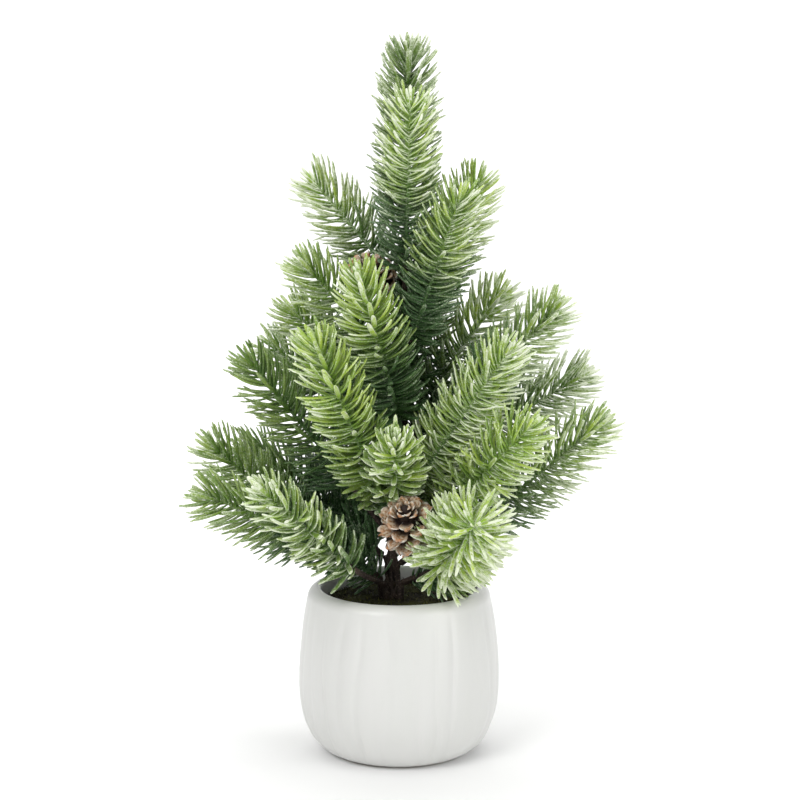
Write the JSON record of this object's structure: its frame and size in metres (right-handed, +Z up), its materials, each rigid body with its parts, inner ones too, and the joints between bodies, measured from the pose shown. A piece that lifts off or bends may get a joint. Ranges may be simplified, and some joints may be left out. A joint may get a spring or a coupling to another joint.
{
  "type": "artificial tabletop tree",
  "caption": "Small artificial pine tree: frosted green needle sprays on bendable brown taped wire branches, with pine cones, standing in a round white glazed pot.",
  "frame": {"origin": "centre of the pot's foot ring, on the surface it stands on", "axes": "+Z up along the pot's axis, -Y the front of the tree, +X to the right seen from the front"},
  "size_m": [0.2214, 0.1621, 0.399],
  "materials": {
    "pot_glaze": "glossy white glaze over soft upright flutes",
    "filling": "rigid foam block, hidden",
    "moss": "dyed dried moss, matt, olive and brown",
    "steel": "plain steel wire, hidden",
    "brown_tape": "wound brown florist tape, matt",
    "needles": "moulded soft plastic needles, deep green to yellow-green, white frosting on the ends",
    "pine_cone": "dry brown scales with frosted edges",
    "florist_wire": "thin brown lacquered wire"
  },
  "bodies": {
    "potted_trunk": {"pot": "pot_glaze", "foam_block": "filling", "moss_cover": "moss", "trunk_core_wire": "steel", "trunk_sleeve": "brown_tape", "upper_pine_cone_wire": "florist_wire", "upper_pine_cone": "pine_cone"},
    "top_branch": {"top_stem": "brown_tape", "top_spray": "needles"},
    "leader_branch": {"leader_stem": "brown_tape", "leader_spray": "needles"},
    "upper_left_branch": {"upper_left_stem": "brown_tape", "upper_left_spray": "needles"},
    "upper_right_branch": {"upper_right_stem": "brown_tape", "upper_right_spray": "needles"},
    "upper_right_rear_branch": {"upper_right_rear_stem": "brown_tape", "upper_right_rear_spray": "needles"},
    "left_high_branch": {"left_high_stem": "brown_tape", "left_high_spray": "needles"},
    "left_rear_branch": {"left_rear_stem": "brown_tape", "left_high_rear_spray": "needles", "left_rear_spray": "needles"},
    "front_high_branch": {"front_high_stem": "brown_tape", "front_high_spray": "needles"},
    "front_left_branch": {"front_left_stem": "brown_tape", "front_left_spray": "needles"},
    "left_mid_branch": {"left_mid_stem": "brown_tape", "left_mid_spray": "needles"},
    "left_low_branch": {"left_low_stem": "brown_tape", "left_low_spray": "needles", "left_low_rear_spray": "needles"},
    "left_bottom_branch": {"left_bottom_stem": "brown_tape", "left_bottom_spray": "needles"},
    "front_left_low_branch": {"front_left_low_stem": "brown_tape", "front_left_low_spray": "needles"},
    "front_centre_branch": {"front_centre_stem": "brown_tape", "front_centre_spray": "needles", "lower_pine_cone_wire": "florist_wire", "lower_pine_cone": "pine_cone"},
    "front_right_low_branch": {"front_right_low_stem": "brown_tape", "front_right_low_spray": "needles", "right_bottom_spray": "needles"},
    "right_low_branch": {"right_low_stem": "brown_tape", "right_low_spray": "needles", "front_right_spray": "needles"},
    "right_mid_rear_branch": {"right_mid_rear_stem": "brown_tape", "right_mid_rear_spray": "needles"},
    "right_high_branch": {"right_high_stem": "brown_tape", "right_high_spray": "needles", "right_high_rear_spray": "needles"},
    "front_right_high_branch": {"front_right_high_stem": "brown_tape", "front_right_high_spray": "needles"},
    "rear_high_branch": {"rear_high_stem": "brown_tape", "rear_high_spray": "needles", "rear_left_spray": "needles"},
    "rear_low_branch": {"rear_low_stem": "brown_tape", "rear_right_spray": "needles", "rear_low_left_spray": "needles", "rear_low_spray": "needles"}
  },
  "joints": [
    {"name": "top_bend", "type": "hinge", "parent": "potted_trunk", "child": "top_branch", "pos_m": [0.003, 0.005, 0.3014], "axis": [-1, 0, 0], "range_deg": [-8, 14]},
    {"name": "leader_bend", "type": "hinge", "parent": "potted_trunk", "child": "leader_branch", "pos_m": [0.00301, -0.00034, 0.262], "axis": [-0.9974, -0.0725, 0], "range_deg": [-20, 3]},
    {"name": "upper_left_bend", "type": "hinge", "parent": "potted_trunk", "child": "upper_left_branch", "pos_m": [-0.00152, 0.00743, 0.258], "axis": [0.5658, 0.8246, 0], "range_deg": [-18, 15]},
    {"name": "upper_right_bend", "type": "hinge", "parent": "potted_trunk", "child": "upper_right_branch", "pos_m": [0.00468, -0.00007, 0.232], "axis": [-0.8852, -0.4651, 0], "range_deg": [-20, 4]},
    {"name": "upper_right_rear_bend", "type": "hinge", "parent": "potted_trunk", "child": "upper_right_rear_branch", "pos_m": [0.00732, 0.00579, 0.246], "axis": [0.2594, -0.9658, 0], "range_deg": [-20, 10]},
    {"name": "left_high_bend", "type": "hinge", "parent": "potted_trunk", "child": "left_high_branch", "pos_m": [-0.0025, 0.00251, 0.216], "axis": [-0.3392, 0.9407, 0], "range_deg": [-20, 4]},
    {"name": "left_rear_bend", "type": "hinge", "parent": "potted_trunk", "child": "left_rear_branch", "pos_m": [-0.003, 0.00636, 0.186], "axis": [0.4944, 0.8692, 0], "range_deg": [-20, 12]},
    {"name": "front_high_bend", "type": "hinge", "parent": "potted_trunk", "child": "front_high_branch", "pos_m": [0.0006, -0.00095, 0.19], "axis": [-0.9784, 0.2068, 0], "range_deg": [-20, 6]},
    {"name": "front_left_bend", "type": "hinge", "parent": "potted_trunk", "child": "front_left_branch", "pos_m": [-0.00338, -0.00107, 0.15], "axis": [-0.9048, 0.4258, 0], "range_deg": [-20, 7]},
    {"name": "left_mid_bend", "type": "hinge", "parent": "potted_trunk", "child": "left_mid_branch", "pos_m": [-0.00775, 0.00222, 0.128], "axis": [-0.1947, 0.9809, 0], "range_deg": [-16, 12]},
    {"name": "left_low_bend", "type": "hinge", "parent": "potted_trunk", "child": "left_low_branch", "pos_m": [-0.00887, 0.00415, 0.112], "axis": [0.229, 0.9734, 0], "range_deg": [-20, 8]},
    {"name": "left_bottom_bend", "type": "hinge", "parent": "potted_trunk", "child": "left_bottom_branch", "pos_m": [-0.01165, -0.0003, 0.101], "axis": [-0.378, 0.9258, 0], "range_deg": [-20, 8]},
    {"name": "front_left_low_bend", "type": "hinge", "parent": "potted_trunk", "child": "front_left_low_branch", "pos_m": [-0.00821, -0.00434, 0.097], "axis": [-0.8533, 0.5215, 0], "range_deg": [-20, 18]},
    {"name": "front_centre_bend", "type": "hinge", "parent": "potted_trunk", "child": "front_centre_branch", "pos_m": [-0.00298, -0.00185, 0.124], "axis": [-0.9995, -0.0305, 0], "range_deg": [-20, 5]},
    {"name": "front_right_low_bend", "type": "hinge", "parent": "potted_trunk", "child": "front_right_low_branch", "pos_m": [0.00188, -0.00332, 0.098], "axis": [-0.7325, -0.6808, 0], "range_deg": [-4, 4]},
    {"name": "right_low_bend", "type": "hinge", "parent": "potted_trunk", "child": "right_low_branch", "pos_m": [0.00059, 0.00086, 0.108], "axis": [-0.4187, -0.9081, 0], "range_deg": [-20, 4]},
    {"name": "right_mid_rear_bend", "type": "hinge", "parent": "potted_trunk", "child": "right_mid_rear_branch", "pos_m": [0.00425, 0.0044, 0.158], "axis": [0.1697, -0.9855, 0], "range_deg": [-20, 18]},
    {"name": "right_high_bend", "type": "hinge", "parent": "potted_trunk", "child": "right_high_branch", "pos_m": [0.00577, 0.00389, 0.178], "axis": [0.0182, -0.9998, 0], "range_deg": [-20, 5]},
    {"name": "front_right_high_bend", "type": "hinge", "parent": "potted_trunk", "child": "front_right_high_branch", "pos_m": [0.0013, -0.00044, 0.14], "axis": [-0.7554, -0.6552, 0], "range_deg": [-6, 18]},
    {"name": "rear_high_bend", "type": "hinge", "parent": "potted_trunk", "child": "rear_high_branch", "pos_m": [0.00122, 0.00902, 0.205], "axis": [0.9844, 0.176, 0], "range_deg": [-20, 10]},
    {"name": "rear_low_bend", "type": "hinge", "parent": "potted_trunk", "child": "rear_low_branch", "pos_m": [-0.00249, 0.00806, 0.122], "axis": [0.9875, -0.1576, 0], "range_deg": [-20, 8]}
  ]
}
